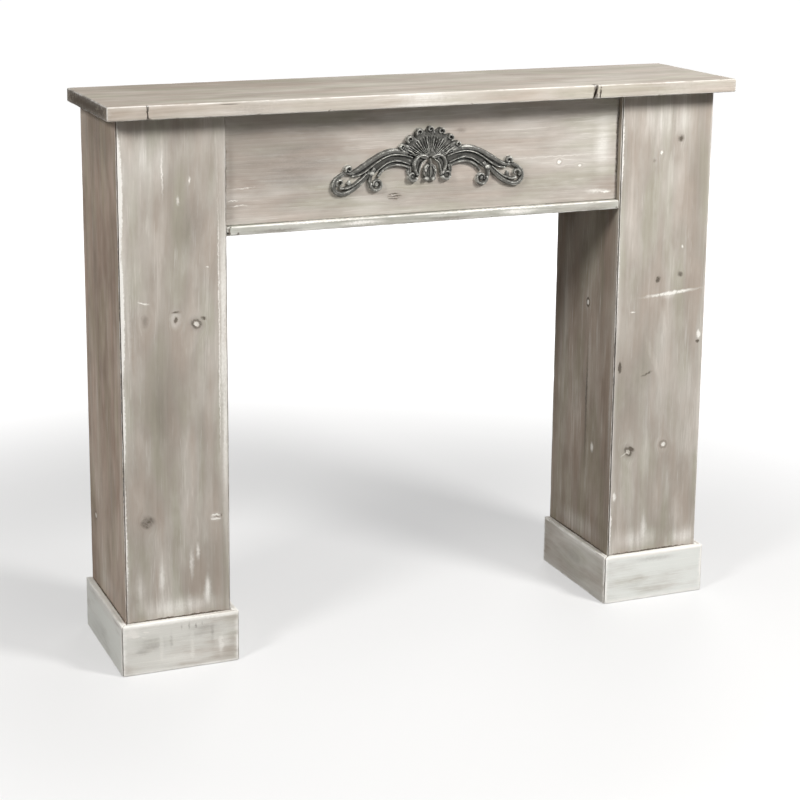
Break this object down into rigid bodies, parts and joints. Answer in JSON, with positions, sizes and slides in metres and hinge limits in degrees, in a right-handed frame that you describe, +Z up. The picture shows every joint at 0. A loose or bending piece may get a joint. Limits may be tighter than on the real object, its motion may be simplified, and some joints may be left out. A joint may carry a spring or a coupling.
{
  "type": "fireplace mantelpiece",
  "caption": "Free-standing mantel surround of whitewashed fir boards: shelf, hollow square pillars with plinths, and a frieze with a cast shell-and-scroll ornament.",
  "frame": {"origin": "on the floor, under the middle of the shelf board's length and depth", "axes": "+X along the shelf to the viewer's right, -Y towards the viewer, +Z up"},
  "size_m": [1.18, 0.28, 1],
  "materials": {
    "shelf_wood": "thin streaky whitewash over grey-stained fir, grain along the shelf, worn pale arrises",
    "pillar_wood": "thin streaky whitewash over grey-brown stained fir, upright grain, small knots, worn arrises",
    "plinth_wood": "heavier patchy whitewash over grey-stained fir, white rubbed edges",
    "frieze_wood": "whitewashed fir with level grain, paler strip",
    "cast_grey": "dark grey cast relief, dry-brushed silvery white on its ridges"
  },
  "bodies": {
    "root": {"shelf_board": "shelf_wood", "left_pillar_front_board": "pillar_wood", "left_pillar_outer_board": "pillar_wood", "left_pillar_inner_board": "pillar_wood", "left_plinth_front_board": "plinth_wood", "left_plinth_outer_board": "plinth_wood", "left_plinth_inner_board": "plinth_wood", "right_pillar_front_board": "pillar_wood", "right_pillar_outer_board": "pillar_wood", "right_pillar_inner_board": "pillar_wood", "right_plinth_front_board": "plinth_wood", "right_plinth_outer_board": "plinth_wood", "right_plinth_inner_board": "plinth_wood", "frieze_board": "frieze_wood", "frieze_strip": "frieze_wood", "cast_ornament": "cast_grey"}
  },
  "joints": []
}
